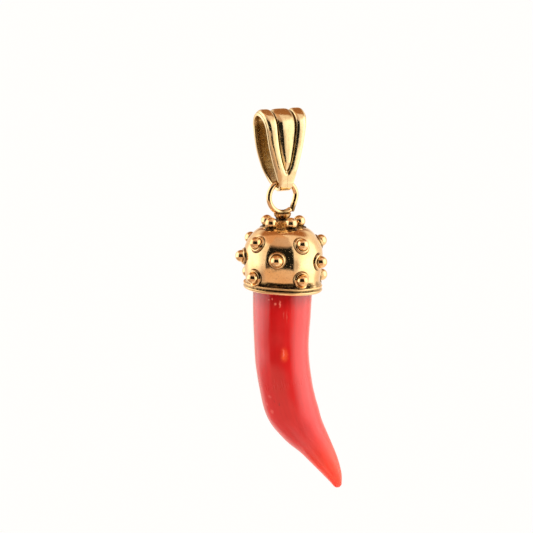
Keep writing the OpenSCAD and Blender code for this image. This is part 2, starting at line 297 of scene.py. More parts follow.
class Nodes:
    """Short calls that add nodes to a material or world."""

    def __init__(self, tree):
        self.tree = tree
        tree.nodes.clear()

    def add(self, kind, inputs=None, **settings):
        node = self.tree.nodes.new(kind)
        for key, value in settings.items():
            setattr(node, key, value)
        for key, value in (inputs or {}).items():
            self.set(node, key, value)
        return node

    def set(self, node, key, value):
        socket = node.inputs[key]
        if isinstance(value, bpy.types.NodeSocket):
            self.tree.links.new(value, socket)
        else:
            socket.default_value = value

    def math(self, op, *values, clamp=False):
        node = self.add("ShaderNodeMath", operation=op, use_clamp=clamp)
        for i, value in enumerate(values):
            self.set(node, i, value)
        return node.outputs[0]

    def vector_math(self, op, *values):
        node = self.add("ShaderNodeVectorMath", operation=op)
        for i, value in enumerate(values):
            self.set(node, i, value)
        return node.outputs["Value" if op == "LENGTH" else "Vector"]

    def fade(self, value, low, high, to_low=0.0, to_high=1.0):
        """A smooth step of value from low to high."""
        node = self.add("ShaderNodeMapRange", interpolation_type="SMOOTHSTEP")
        for key, number in (("Value", value), ("From Min", low), ("From Max", high),
                            ("To Min", to_low), ("To Max", to_high)):
            self.set(node, key, number)
        return node.outputs[0]

    def blend(self, share, a, b):
        node = self.add("ShaderNodeMix", data_type="RGBA", blend_type="MIX", clamp_factor=True)
        self.set(node, 0, share)
        self.set(node, 6, a)
        self.set(node, 7, b)
        return node.outputs[2]

    def noise(self, vector, scale, detail=2.0, rough=0.5, stretch=None, colour=False):
        if stretch:
            vector = self.add("ShaderNodeMapping", {"Vector": vector, "Scale": stretch}).outputs[0]
        node = self.add("ShaderNodeTexNoise", {"Vector": vector, "Scale": scale, "Detail": detail,
                                               "Roughness": rough})
        return node.outputs["Color" if colour else "Fac"]


def rgba(colour):
    return (*colour, 1.0)


# Each gold's light, deep and worn tone
CAP_GOLD = ((1.0, 0.71, 0.37), (0.94, 0.60, 0.27), (0.72, 0.45, 0.21))
# The bail's tones are paler and yellower than the cap's, as painted highlight for how the bail is lit
BAIL_GOLD = ((1.0, 0.82, 0.48), (0.95, 0.72, 0.36), (0.70, 0.50, 0.24))
# The brown and black of the painted shade in the gold's corners, creases and recesses
GOLD_SHADE_BROWN = (0.27, 0.165, 0.065)
GOLD_SHADE_BLACK = (0.022, 0.015, 0.009)
# Each gold's roughness, and the share of the worn tone in its specks
BAIL_FINISH = (0.08, 0.12)
CAP_FINISH = (0.05, 0.0)
# The gold's patterns: noise scale, detail, roughness and stretch
GOLD_CLOUD = (420.0, 3.0)
GOLD_SPECK = (3600.0, 4.0, 0.7)
GOLD_PIT = (5200.0, 2.0, 0.6)
GOLD_SCRATCHES = ((2600.0, 2.0, 0.6, (1.0, 1.0, 0.08)), (3400.0, 2.0, 0.6, (0.1, 1.0, 1.0)))
# Between which values of a pattern something comes in, and then what it goes from and to
DEEP_BY_CLOUD = (0.35, 0.7)
WORN_BY_SPECK = (0.48, 0.68)
WORN_MORE = 0.4
SHADE_BY_SPECK = (0.36, 0.6, 1.25, 0.75)
BROWN_BY_SHADE = (0.0, 0.6)
BLACK_BY_SHADE = (0.6, 0.95)
ROUGH_BY_CLOUD = (0.3, 0.75)
ROUGH_MORE = 0.03
ROUGH_IN_SHADE = 0.35
ROUGH_BY_PIT = (0.58, 0.7, 0.0, 0.34)
ROUGH_BY_BRUSHING = (-1.0, 0.0, 0.5, 0.0)
SPECK_IN_BUMP = 1.2
GOLD_BUMP = {"Strength": 0.5, "Distance": 0.000005}


def gold_material(name, tones, polish, wear):
    """Polished gold: soft changes of tone, specks, fine scratches, and painted shade in brown and black in
    the corners.

    The attribute is 1 where the painted shade is black, and below 0 where the gold is brushed.
    """
    mat = bpy.data.materials.new(name)
    mat.use_nodes = True
    n = Nodes(mat.node_tree)
    where = n.add("ShaderNodeTexCoord").outputs["Object"]
    shade_and_brushing = n.add("ShaderNodeAttribute", attribute_name="shade_and_brushing").outputs["Fac"]
    cloud = n.noise(where, *GOLD_CLOUD)
    speck = n.noise(where, *GOLD_SPECK)
    pit = n.noise(where, *GOLD_PIT)
    light, deep, worn = (rgba(tone) for tone in tones)
    tone = n.blend(n.fade(cloud, *DEEP_BY_CLOUD), light, deep)
    tone = n.blend(n.fade(speck, *WORN_BY_SPECK, wear, wear + WORN_MORE), tone, worn)
    # Painted shade: where the attribute is high, broken up by the specks, the tone turns brown, then black,
    # and rougher
    shade_and_brush_level = n.math("MULTIPLY", shade_and_brushing, n.fade(speck, *SHADE_BY_SPECK), clamp=True)
    colour = n.blend(n.fade(shade_and_brush_level, *BROWN_BY_SHADE), tone, rgba(GOLD_SHADE_BROWN))
    colour = n.blend(n.fade(shade_and_brush_level, *BLACK_BY_SHADE), colour, rgba(GOLD_SHADE_BLACK))
    rough = n.fade(cloud, *ROUGH_BY_CLOUD, polish, polish + ROUGH_MORE)
    rough = n.math("ADD", rough, n.math("MULTIPLY", shade_and_brush_level, ROUGH_IN_SHADE))
    rough = n.math("ADD", rough, n.fade(pit, *ROUGH_BY_PIT))
    rough = n.math("ADD", rough, n.fade(shade_and_brushing, *ROUGH_BY_BRUSHING))
    scratches = [n.noise(where, *pattern) for pattern in GOLD_SCRATCHES]
    height = n.math("ADD", n.math("ADD", *scratches), n.math("MULTIPLY", speck, SPECK_IN_BUMP))
    bump = n.add("ShaderNodeBump", {**GOLD_BUMP, "Height": height})
    shader = n.add("ShaderNodeBsdfPrincipled", {"Base Color": colour, "Metallic": 1.0,
                                                "Roughness": rough, "Normal": bump.outputs[0]})
    n.add("ShaderNodeOutputMaterial", {"Surface": shader.outputs[0]})
    return mat


CORAL_TOP = (0.70, 0.006, 0.008)
CORAL_TOP_DEEP = (0.64, 0.004, 0.006)
CORAL_TIP = (1.0, 0.050, 0.006)
CORAL_TIP_DEEP = (0.98, 0.036, 0.005)
CORAL_STREAK = (0.92, 0.06, 0.05)
CORAL_RIM_SHADOW = (0.36, 0.005, 0.006)
CORAL_PALE = (0.95, 0.30, 0.24)
CORAL_SPOT = (1.0, 0.16, 0.05)
CORAL_CRACK = (0.22, 0.004, 0.006)
# The painted shadow under the rim: its depth, its share, and how the growth pattern changes that
RIM_SHADOW_DEPTH = 2.6
RIM_SHADOW_SHARE = 0.8
RIM_SHADOW_BY_GROWTH = (0.3, 0.7, 0.8, 1.1)
# The coral's patterns, as for the gold. All but the cloud and the fray run along its growth.
CORAL_GROWTH = (1.6, 4.0, 0.6, (1.0, 1.0, 0.10))
CORAL_FINE = (7.0, 3.0, 0.6, (1.0, 1.0, 0.06))
CORAL_CLOUD = (260.0, 2.0)
CORAL_FRAY = (2600.0, 3.0, 0.6)
# Between which shares of the length the tip's colour, a calmer surface and a duller gloss come in
TIP_COLOUR_ALONG = (0.66, 0.96)
CALM_ALONG = (0.2, 0.6, 1.0, 0.08)
ROUGH_ALONG = (0.3, 0.7, 0.0, 0.24)
CLOUD_IN_GROWTH = 0.5
DEEP_BY_GROWTH = (0.6, 0.95)
STREAK_BY_FINE = (0.62, 0.74, 0.0, 0.16)
ROUGH_BY_FINE = (0.3, 0.8, 0.18, 0.24)
FINE_IN_BUMP = 0.4
CORAL_BUMP = {"Strength": 0.12, "Distance": 0.000008}
# How far in metres the marks' edges are frayed, and from and to which share of a mark it fades
MARK_FRAY = (0.0004, 0.0004, 0.0006)
MARK_FADE = (0.2, 1.3)
NOISE_MIDDLE = (0.5, 0.5, 0.5)
# Natural marks: picture x and y, half width, half length, share of the colour, colour.
CORAL_MARKS = [
    (284.2, 355.3, 0.50, 0.95, 0.60, CORAL_SPOT),
    (283.6, 353.6, 0.13, 0.50, 0.95, CORAL_PALE),
    (283.4, 358.4, 0.20, 0.22, 0.60, CORAL_SPOT),
    (280.0, 304.6, 0.13, 0.50, 0.95, CORAL_PALE),
    (275.6, 303.6, 0.14, 0.22, 0.90, CORAL_PALE),
    (272.2, 298.9, 0.13, 0.14, 0.90, CORAL_PALE),
    (268.6, 299.6, 0.13, 0.12, 0.80, CORAL_PALE),
    (286.8, 317.0, 0.09, 0.80, 0.30, CORAL_PALE),
    (283.6, 315.0, 0.08, 0.60, 0.25, CORAL_PALE),
    (269.5, 396.5, 0.35, 0.22, 0.30, CORAL_PALE),
    (267.0, 404.0, 0.20, 0.20, 0.30, CORAL_PALE),
    (272.0, 411.5, 0.30, 0.28, 0.30, CORAL_PALE),
    (274.5, 401.5, 0.09, 0.30, 0.40, CORAL_CRACK),
    (279.6, 404.6, 0.06, 0.42, 0.90, CORAL_CRACK),
]


def coral_material(name, places):
    """Polished red coral: growth streaks, natural marks, painted shadow under the rim, soft light inside.
    """
    mat = bpy.data.materials.new(name)
    mat.use_nodes = True
    n = Nodes(mat.node_tree)
    grain = n.add("ShaderNodeAttribute", attribute_name="grain").outputs["Vector"]
    along = n.add("ShaderNodeAttribute", attribute_name="along").outputs["Fac"]
    where = n.add("ShaderNodeTexCoord").outputs["Object"]
    growth = n.noise(grain, *CORAL_GROWTH)
    fine = n.noise(grain, *CORAL_FINE)
    cloud = n.noise(where, *CORAL_CLOUD)
    toward_tip = n.fade(along, *TIP_COLOUR_ALONG)
    red = n.blend(toward_tip, rgba(CORAL_TOP), rgba(CORAL_TIP))
    deep = n.blend(toward_tip, rgba(CORAL_TOP_DEEP), rgba(CORAL_TIP_DEEP))
    calm = n.fade(along, *CALM_ALONG)
    depth = n.math("ADD", growth, n.math("MULTIPLY", cloud, CLOUD_IN_GROWTH))
    colour = n.blend(n.fade(depth, *DEEP_BY_GROWTH), red, deep)
    streaks = n.math("MULTIPLY", calm, n.fade(fine, *STREAK_BY_FINE))
    colour = n.blend(streaks, colour, rgba(CORAL_STREAK))
    # Painted shadow under the rim
    rim_shadow = n.fade(along, 0.0, RIM_SHADOW_DEPTH / HORN_H, RIM_SHADOW_SHARE, 0.0)
    rim_shadow = n.math("MULTIPLY", rim_shadow, n.fade(growth, *RIM_SHADOW_BY_GROWTH))
    colour = n.blend(rim_shadow, colour, rgba(CORAL_RIM_SHADOW))
    ragged = n.vector_math("SUBTRACT", n.noise(where, *CORAL_FRAY, colour=True), NOISE_MIDDLE)
    frayed = n.vector_math("ADD", where, n.vector_math("MULTIPLY", ragged, MARK_FRAY))
    for place, mark in zip(places, CORAL_MARKS):
        wide, tall, share, tint = mark[2:]
        local = n.add("ShaderNodeMapping", {
            "Vector": frayed,
            "Location": tuple(place * MM),
            "Scale": (wide * MM, wide * MM, tall * MM),
        }, vector_type="TEXTURE").outputs[0]
        inside = n.fade(n.vector_math("LENGTH", local), *MARK_FADE, share, 0.0)
        colour = n.blend(inside, colour, rgba(tint))
    height = n.math("MULTIPLY", calm, n.math("ADD", growth, n.math("MULTIPLY", fine, FINE_IN_BUMP)))
    bump = n.add("ShaderNodeBump", {**CORAL_BUMP, "Height": height})
    shader = n.add("ShaderNodeBsdfPrincipled", {
        "Base Color": colour,
        "Roughness": n.math("ADD", n.fade(fine, *ROUGH_BY_FINE), n.fade(along, *ROUGH_ALONG)),
        "IOR": 1.5,
        "Coat Weight": 0.7,
        "Coat Roughness": 0.13,
        "Subsurface Weight": 0.5,
        "Subsurface Radius": (1.0, 0.12, 0.07),
        "Subsurface Scale": 0.0012,
        "Normal": bump.outputs[0],
    })
    n.add("ShaderNodeOutputMaterial", {"Surface": shader.outputs[0]})
    return mat


gold_bail = gold_material("gold_bail", BAIL_GOLD, *BAIL_FINISH)
gold_cap = gold_material("gold_cap", CAP_GOLD, *CAP_FINISH)

# The bail: one sheet swept round the loop

BAIL_STEPS = {"crook": 28, "back": 24, "rear": 24, "fold": 44, "front": 120}
RIB_STEPS = 26
# The front's sections lie closer together lower down.
FRONT_CROWD = 1.3
# Powers that shape a rib's crown, its shoulders and the tab's soft crown below the V
RIB_FLAT = 4.0
RIB_SHOULDER = 0.8
TAB_FLAT = 4
# How full the bail's outline and the grooves' lines are
OUTLINE_BULGE = 0.1
GROOVE_CURVE = 0.7
# Between which degrees the ribs end under the crook
CROOK_PLAIN = (100, 150)
# Places on the sheet's inner face and at its rounded edges, as shares of its half width and of
# the rounding
INNER_AT = (0.35, 0.7)
EDGE_MIDDLE = 0.3
EDGE_OUT = (0.2, 0.25)
# Painted shade: inside the loop, as a painted dark reflection on the middle rib's right flank, and
# in the grooves, from which share of a rib on, and what is left of it by the sheet's edges
INNER_SHADE = 0.36
FLANK_SHADE = 0.35
FLANK_WIDE = (0.0, 0.9)
GROOVE_FROM = 0.86
EDGE_SHADE = 0.3
EDGE_NEAR = 2.5
BAIL_WAVE = (1.6, 0.02, 3.1)
BAIL_SHARP = 38


def width_share(s):
    """The share of the bail's widening at a share of its height."""
    return s + OUTLINE_BULGE * sind(180 * s) ** 2


TAB_SHARE = width_share(CROOK_OUT / (CROOK_OUT + LOOP_TOP_Z))
TIP_HALF = (TAB_HALF - BAIL_TOP_W / 2 * TAB_SHARE) / (1 - TAB_SHARE)


def loop_path():
    """Places on the loop's inner face: (y, z, angle of the outward normal, 1 on the rear)."""
    path = []
    for i in range(BAIL_STEPS["crook"]):
        a = -180 + i * (180 + CROOK_END) / BAIL_STEPS["crook"]
        path.append((CROOK_R * cosd(a), CROOK_R * sind(a), a, 0))
    for i in range(BAIL_STEPS["back"]):
        a = CROOK_END * (1 - i / BAIL_STEPS["back"])
        path.append((BACK_Y + BACK_R * cosd(a), BACK_Z + BACK_R * sind(a), a, 1))
    for i in range(BAIL_STEPS["rear"]):
        path.append((TOP_Y + TOP_R, mix(BACK_Z, TOP_Z, i / BAIL_STEPS["rear"]), 0, 1))
    for i in range(BAIL_STEPS["fold"]):
        a = i * 180 / BAIL_STEPS["fold"]
        path.append((TOP_Y + TOP_R * cosd(a), TOP_Z + TOP_R * sind(a), a, 1 if a < 90 else 0))
    for i in range(BAIL_STEPS["front"]):
        share = (1 - i / BAIL_STEPS["front"]) ** FRONT_CROWD
        path.append((-CROOK_R, TOP_Z * share, 180, 0))
    return path


def half_width(z, rear):
    """Half the sheet's width at a height. rear is 1 on the wider rear leg."""
    s = min(1.0, max(0.0, (z + CROOK_OUT) / (CROOK_OUT + LOOP_TOP_Z)))
    return TIP_HALF + (BAIL_TOP_W / 2 - TIP_HALF) * width_share(s) + rear * REAR_EXTRA * sind(180 * s)


def groove_x(z):
    """How far each groove lies from the middle at a height."""
    s = min(1.0, max(0.0, (z - GROOVE_LOW) / (LOOP_TOP_Z - GROOVE_LOW)))
    return GROOVE_MIN + (GROOVE_TOP_X - GROOVE_MIN) * sind(90 * s) ** GROOVE_CURVE


def rib_rise(p):
    """How far the ribs stand out of the sheet at a place on the path."""
    if p[3] == 0:
        under = ease(-p[2], *CROOK_PLAIN) if p[2] < 0 else 1
        return RIB_H * (RIB_LOW + (1 - RIB_LOW) * ease(p[1], RIB_START, RIB_FULL)) * under
    return RIB_H * ease(p[2], 90 - RIB_FADE, 90) if p[2] > 90 - RIB_FADE else 0.0


def bail_section(p):
    """One closed section: points (x, y, z) and the painted shade at each."""
    w = half_width(p[1] + SHEET_T * sind(p[2]), p[3])
    g = min(groove_x(p[1]), w - GROOVE_EDGE)
    rise = rib_rise(p)
    mid_rise = rise * min(1.0, (g - GROOVE_MIN) / RIB_H)
    joined = 1 - ease(p[1], GROOVE_LOW - GROOVE_FILL, GROOVE_LOW) if p[3] == 0 else 0.0
    e = EDGE_ROUND
    inner = [(0, 0)] + [(-w * share, 0) for share in INNER_AT]
    inner += [(-w + e, 0), (-w + e * EDGE_MIDDLE, e * EDGE_MIDDLE), (-w, e), (-w, SHEET_T / 2)]
    inner += [(-w, SHEET_T - e), (-w + e * EDGE_OUT[0], SHEET_T - e * EDGE_OUT[1])]
    # Painted shade on the inner face of the loop
    flat = [(x, out, INNER_SHADE if out == 0 else 0.0) for x, out in inner]
    ribs = []
    for x0, x1, h in ((-w + e, -g, rise), (-g, g, mid_rise), (g, w - e, rise)):
        for i in range(RIB_STEPS):
            u = -cosd(i * 180 / RIB_STEPS)
            x = (x0 + x1) / 2 + (x1 - x0) / 2 * u
            form = math.sqrt(max(0.0, 1 - abs(x / w) ** TAB_FLAT))
            pillow = (1 - abs(u) ** RIB_FLAT) ** RIB_SHOULDER
            out = SHEET_T + (1 - joined) * h * pillow + joined * rise * form
            # Painted shade deep in the grooves, less by the sheet's edges, and a painted dark reflection on
            # the middle rib's right flank
            low = ease(abs(u), GROOVE_FROM, 1.0) * (1 - joined) * min(1.0, rise / RIB_H)
            side = EDGE_SHADE if abs(x) > w - EDGE_NEAR * e else 1.0
            shade = FLANK_SHADE * ease(u, *FLANK_WIDE) if abs(x0 + x1) < e else 0.0
            ribs.append((x, out, max(low * side, shade)))
    edge_form = math.sqrt(max(0.0, 1 - ((w - e) / w) ** TAB_FLAT))
    last = (w - e, SHEET_T + joined * rise * edge_form, 0.0)
    other = [(-x, out, shade_and_brush_level) for x, out, shade_and_brush_level in reversed(flat)][:-1]
    return [
        (Vector((x, p[0] + out * cosd(p[2]), p[1] + out * sind(p[2]))), shade_and_brush_level)
        for x, out, shade_and_brush_level in flat + ribs + [last] + other
    ]


def make_bail():
    """The bail's mesh: its sections joined round the loop, with a soft waviness."""
    sections = [bail_section(p) for p in loop_path()]
    points = []
    shade_and_brushing = []
    for section in sections:
        for q, shade_and_brush_level in section:
            wave = unevenness(q, *BAIL_WAVE)
            points.append(q + Vector((wave, wave, 0)))
            shade_and_brushing.append(shade_and_brush_level)
    faces = grid_faces(len(sections), len(sections[0]), close_rings=True)
    place = Matrix.Translation(HINGE)
    return make_mesh("bail_gold", points, faces, BAIL_SHARP, place, {"shade_and_brushing": shade_and_brushing})


# The cap

DOME_SIDES = 192
DOME_FINE = 5
CAP_SHARP = 45
# How far the dome's foot reaches down inside the rim, the shares of its radius at which its flat
# top has rings of points, and the pinhole in the middle of its lining
DOME_SINK = 0.4
FLAT_SHARES = (0.36, 0.28, 0.18, 0.08)
PINHOLE_R = 0.05
MOUTH_LIFT = 0.06
DOME_WAVES = ((2.4, 0.03, 1.3), (0.9, 0.008, 5.7))
WAVE_UP = 0.25
# The painted shade at the dome's foot: its height, the share of it that is full, its darkest side and
# how wide that is, its least share, and the darker spots round it
FOOT_DARK = 0.64
FOOT_FULL = 0.3
FOOT_DARK_AT = -112.0
FOOT_SIDE = (0.5, 0.75)
FOOT_LEAST = 0.35
FOOT_SPOTS = 3
FOOT_SPOT = (0.5, 1.0)
FOOT_WAVE = (0.9, 0.25, 3.3)
# The painted shade round the rosette: its share, the radii between which it comes in, as negatives
# because it comes in going inward, and the share of the cap's height from which it is there
TOP_DARK = 0.5
TOP_FADE = (-3.1, -2.2)
TOP_FROM = 0.9


def dome_profile():
    """(r, z) from the foot of the cap to the middle of its top."""
    rows = [(CAP_R * CAP_ROWS[0][1], RIM_H - DOME_SINK)]
    last = len(CAP_ROWS) - 1
    for i in range(last * DOME_FINE + 1):
        t = i / DOME_FINE
        rows.append((CAP_R * smooth_row(CAP_ROWS, t, 1), CAP_H * smooth_row(CAP_ROWS, t, 0)))
    rows += [(CAP_R * share, CAP_H) for share in FLAT_SHARES]
    return rows


def dome_wave(p):
    """The hammered cap's unevenness, pointing outward."""
    out = Vector((p.x, p.y, WAVE_UP * (p.z - CAP_H / 2)))
    size = sum(unevenness(p, *wave) for wave in DOME_WAVES)
    return out.normalized() * size


def make_dome():
    """The dome's wall, outside and in, with painted shade at its foot and round the rosette."""
    outer = dome_profile()
    inner = []
    for r, z in reversed(outer[DOME_FINE:]):
        inner.append((max(PINHOLE_R, r - CAP_WALL), min(z, CAP_H - CAP_WALL)))
    profile = outer + inner + [(MOUTH_R, RIM_H), (MOUTH_R, MOUTH_LIFT)]
    points = lathe(profile, DOME_SIDES)
    count = len(outer) * DOME_SIDES
    points = [p + dome_wave(p) if i < count else p for i, p in enumerate(points)]
    shade_and_brushing = []
    for r, z in profile:
        # Painted shade at the foot, patchy round it, and round the rosette
        foot = ease(-z, -RIM_H - FOOT_DARK, -RIM_H - FOOT_FULL * FOOT_DARK)
        top = TOP_DARK * ease(-r, *TOP_FADE) if z > CAP_H * TOP_FROM else 0.0
        for k in range(DOME_SIDES):
            a = 360 * k / DOME_SIDES
            side = ease(cosd(a - FOOT_DARK_AT), *FOOT_SIDE)
            patchy = max(FOOT_LEAST, side, ease(cosd(FOOT_SPOTS * a), *FOOT_SPOT))
            patchy += unevenness((r * cosd(a), r * sind(a), z), *FOOT_WAVE)
            shade_and_brushing.append(max(foot * patchy, top))
    return points, grid_faces(len(profile), DOME_SIDES), shade_and_brushing


# The rim was soldered on a little askew: how far it drops, and toward which side.
RIM_TILT = 0.22
RIM_LOW_AT = -60.0
RIM_WAVE = (2.0, 0.03, 8.1)
RIM_WAVE_UP = (2.6, 0.035, 4.4)
LIP_STEPS = 15
BEAD_STEPS = 12
BEAD_FROM = -60
# The lip is a little brushed and the bead more. The band between them has painted brown shade, most
# of all on the side where the dome's foot has its darkest painted shade.
LIP_BRUSHING = -0.15
BEAD_BRUSHING = -0.8
BAND_SHADE = 0.62
BAND_SIDE = (0.3, 0.9)
BAND_SHARE = (0.6, 1.5)
# The rim's section before the lip, between lip and bead, and over the bead: radius, height, painted shade
BAND_R = RIM_R - BAND_IN
BEAD_Z = RIM_H - BEAD_LOW - BEAD_T / 2
RIM_FOOT_ROWS = [(MOUTH_R, 0.30, 0.6), (MOUTH_R, 0.07, 0.4), (MOUTH_R + 0.06, 0.0, 0.0)]
BAND_ROWS = [
    (RIM_R - 0.01, LIP_Z + 0.02, 0.1),
    (BAND_R + 0.01, BAND_Z - 0.01, 0.35),
    (BAND_R - 0.01, BAND_Z + 0.04, BAND_SHADE),
    (BAND_R - 0.02, BEAD_Z - BEAD_T / 2 - 0.03, BAND_SHADE),
    (BAND_R - 0.015, BEAD_Z - BEAD_T / 2, 0.5),
]
RIM_TOP_ROWS = [(RIM_R - 0.34, BEAD_Z + 0.06, 0.9), (MOUTH_R, BEAD_Z, 0.6)]


def rim_profile():
    """(r, z, painted shade, below 0 brushing) round the rim's section, from the mouth's underside outward
    and up.
    """
    lip = []
    for i in range(LIP_STEPS + 1):
        a = -90 + i * 90 / LIP_STEPS
        lip.append((RIM_R - LIP_TUCK + LIP_TUCK * cosd(a), LIP_Z * (1 + sind(a)), LIP_BRUSHING))
    bead = []
    for i in range(BEAD_STEPS + 1):
        a = BEAD_FROM + i * 180 / BEAD_STEPS
        r = BAND_R - BEAD_T / 3 + BEAD_T / 2 * cosd(a)
        bead.append((r, BEAD_Z + BEAD_T / 2 * sind(a), BEAD_BRUSHING))
    return RIM_FOOT_ROWS + lip + BAND_ROWS + bead + RIM_TOP_ROWS


def make_rim():
    """The rim's flange with its lip, band of painted brown shade and bead, a little askew."""
    rows = rim_profile()
    points = []
    for p in lathe(rows, DOME_SIDES):
        out = Vector((p.x, p.y, 0)).normalized()
        tilt = RIM_TILT * (out.x * cosd(RIM_LOW_AT) + out.y * sind(RIM_LOW_AT))
        up = Vector((0, 0, unevenness(p, *RIM_WAVE_UP) - tilt))
        points.append(p + out * unevenness(p, *RIM_WAVE) + up)
    shade_and_brushing = []
    for row in rows:
        shade_and_brush_level = row[2]
        for k in range(DOME_SIDES):
            side = ease(cosd(360 * k / DOME_SIDES - FOOT_DARK_AT), *BAND_SIDE)
            shade_and_brushing.append(shade_and_brush_level * mix(*BAND_SHARE, side) if shade_and_brush_level > 0 else shade_and_brush_level)
    build = Build()
    build.add(points, grid_faces(len(rows), DOME_SIDES, close_rings=True), shade_and_brushing)
    return build


def stud_places():
    """Each stud's middle on the dome, its turn and its slope."""
    profile = dome_profile()
    for (height, pitches), shifts in zip(STUD_ROWS, STUD_SHIFTS):
        for i, (further, down) in enumerate(shifts):
            z = CAP_H * height - down
            k = next(i for i in range(len(profile) - 1) if profile[i + 1][1] >= z)
            (r0, z0), (r1, z1) = profile[k], profile[k + 1]
            r = mix(r0, r1, (z - z0) / (z1 - z0))
            slope = math.degrees(math.atan2(r0 - r1, z1 - z0))
            yield r, z, STUD_TURN - 90 + (i + pitches) * 360 / STUDS + further, slope


def stud_frame(r, z, turn, slope):
    """A stud's own frame, whose +Z points straight out of the dome."""
    return (
        Matrix.Rotation(math.radians(turn), 4, "Z")
        @ Matrix.Translation((r, 0, z))
        @ Matrix.Rotation(math.radians(90 - slope), 4, "Y")
    )


BALL_SIDES = 32
BALL_RINGS = 20
BALL_WAVE = (0.7, 0.014)


def ball_points(seed, height):
    """A slightly uneven ball whose centre lies at a height."""
    radius = BALL_D / 2
    points = [Vector((0, 0, -radius))]
    for i in range(1, BALL_RINGS):
        a = math.pi * i / BALL_RINGS
        for k in range(BALL_SIDES):
            b = 2 * math.pi * k / BALL_SIDES
            spot = Vector((math.sin(a) * math.cos(b), math.sin(a) * math.sin(b), -math.cos(a)))
            points.append(radius * spot)
    points.append(Vector((0, 0, radius)))
    up = Vector((0, 0, height))
    return [p * (1 + unevenness(p, *BALL_WAVE, seed) / radius) + up for p in points]


def ball_faces():
    faces = [[0, 1 + (k + 1) % BALL_SIDES, 1 + k] for k in range(BALL_SIDES)]
    for i in range(BALL_RINGS - 2):
        for k in range(BALL_SIDES):
            a = 1 + i * BALL_SIDES + k
            b = 1 + i * BALL_SIDES + (k + 1) % BALL_SIDES
            faces.append([a, b, b + BALL_SIDES, a + BALL_SIDES])
    top = 1 + (BALL_RINGS - 1) * BALL_SIDES
    last = top - BALL_SIDES
    faces += [[last + k, last + (k + 1) % BALL_SIDES, top] for k in range(BALL_SIDES)]
    return faces


COLLAR_SIDES = 56
# The collar's section: distance from the stud's axis, height over the dome, painted shade.
COLLAR_ROWS = [
    (0.50, 0.12, 1.0), (0.66, 0.16, 1.0), (0.73, 0.20, 0.95), (0.76, 0.24, 0.6), (0.79, 0.27, 0.2),
    (0.83, 0.295, 0.0), (0.88, 0.30, 0.0), (0.94, 0.275, 0.1), (0.99, 0.23, 0.25), (1.04, 0.16, 0.4),
    (1.08, 0.09, 0.6), (1.11, 0.03, 0.85), (1.14, 0.0, 0.8), (1.19, -0.03, 0.4),
]
# How uneven a collar is: oval, bent, and thick and thin by turns
COLLAR_OVAL = 0.03
COLLAR_BENT = 0.02
COLLAR_THICK = 0.2
# From how high over the stud's place the dome is sought, how far, and where it is if not found
SEEK_FROM = 1.5
SEEK_REACH = 4.0
SEEK_ELSE = 1.6
# A stud's painted shadow at its foot: its share, and between which heights over the dome it
# comes in, as negatives because it comes in going down
STUD_SHADOW = 0.8
STUD_DARK = (-0.36, -0.16)
STUD_SEED = 0.37
COLLAR_SEED = 1.9


def add_collar(build, place, tree, seed):
    """A wire collar that lies on the dome: heights are measured from the dome under each point."""
    points, shade_and_brushing = [], []
    back = place.to_3x3() @ Vector((0, 0, -1))
    for rho, height, shade_and_brush_level in COLLAR_ROWS:
        for k in range(COLLAR_SIDES):
            a = 2 * math.pi * k / COLLAR_SIDES
            oval = COLLAR_OVAL * math.sin(a + seed)
            bent = COLLAR_BENT * math.sin(2 * a + 2 * seed)
            wide = rho * (1 + oval + bent)
            tall = height * (1 + COLLAR_THICK * math.sin(3 * a + 3 * seed))
            start = place @ Vector((wide * math.cos(a), wide * math.sin(a), SEEK_FROM))
            found = tree.ray_cast(start, back, SEEK_REACH)[0]
            base = found or start + back * SEEK_ELSE
            points.append(base - back * tall)
            shade_and_brushing.append(shade_and_brush_level)
    build.add(points, grid_faces(len(COLLAR_ROWS), COLLAR_SIDES), shade_and_brushing)


def make_studs(tree):
    """The balls on the dome, each in its wire collar."""
    build = Build()
    for i, (r, z, turn, slope) in enumerate(stud_places()):
        place = stud_frame(r, z, turn, slope)
        points = ball_points(STUD_SEED * i, BALL_LIFT)
        # Painted shadow on each ball's lower part, where it meets the dome
        shade_and_brushing = [STUD_SHADOW * ease(-p.z, *STUD_DARK) for p in points]
        build.add([place @ p for p in points], ball_faces(), shade_and_brushing)
        add_collar(build, place, tree, COLLAR_SEED * i)
    return build


# The rosette's balls have the same painted shadow at their feet, by heights over the flat top.
ROSETTE_SEED = 9.1
ROSETTE_SHADOW = 0.95
ROSETTE_DARK = (-0.44, -0.10)
# The solder round each rosette ball's foot: distance from the ball's axis, height
FOOT_ROWS = [(0.46, 0.30), (0.50, 0.20), (0.55, 0.10), (0.64, 0.03), (0.78, -0.04), (0.90, -0.16)]
FOOT_SIDES = 40
# Painted shade on the solder round each ball's foot
SOLDER_FOOT_SHADE = 0.8
FOOT_RISE = (0.5, 0.06, 2.2)


def make_rosette():
    """The five balls round the neck, each with painted shade at its foot."""
    build = Build()
    for k in range(STUDS):
        turn = Matrix.Rotation(math.radians(STUD_TURN - 90 + k * 360 / STUDS), 4, "Z")
        place = turn @ Matrix.Translation((ROSETTE_R, 0, 0))
        points = ball_points(ROSETTE_SEED + k, ROSETTE_LIFT)
        shade_and_brushing = [ROSETTE_SHADOW * ease(-p.z, *ROSETTE_DARK) for p in points]
        build.add([place @ p for p in points], ball_faces(), shade_and_brushing)
        foot = []
        for p in lathe(FOOT_ROWS, FOOT_SIDES):
            rise = unevenness(place @ p, *FOOT_RISE)
            foot.append(place @ (p + Vector((0, 0, rise))))
        build.add(foot, grid_faces(len(FOOT_ROWS), FOOT_SIDES), SOLDER_FOOT_SHADE)
    return build


NECK_SIDES = 72
NECK_R = NECK_D / 2
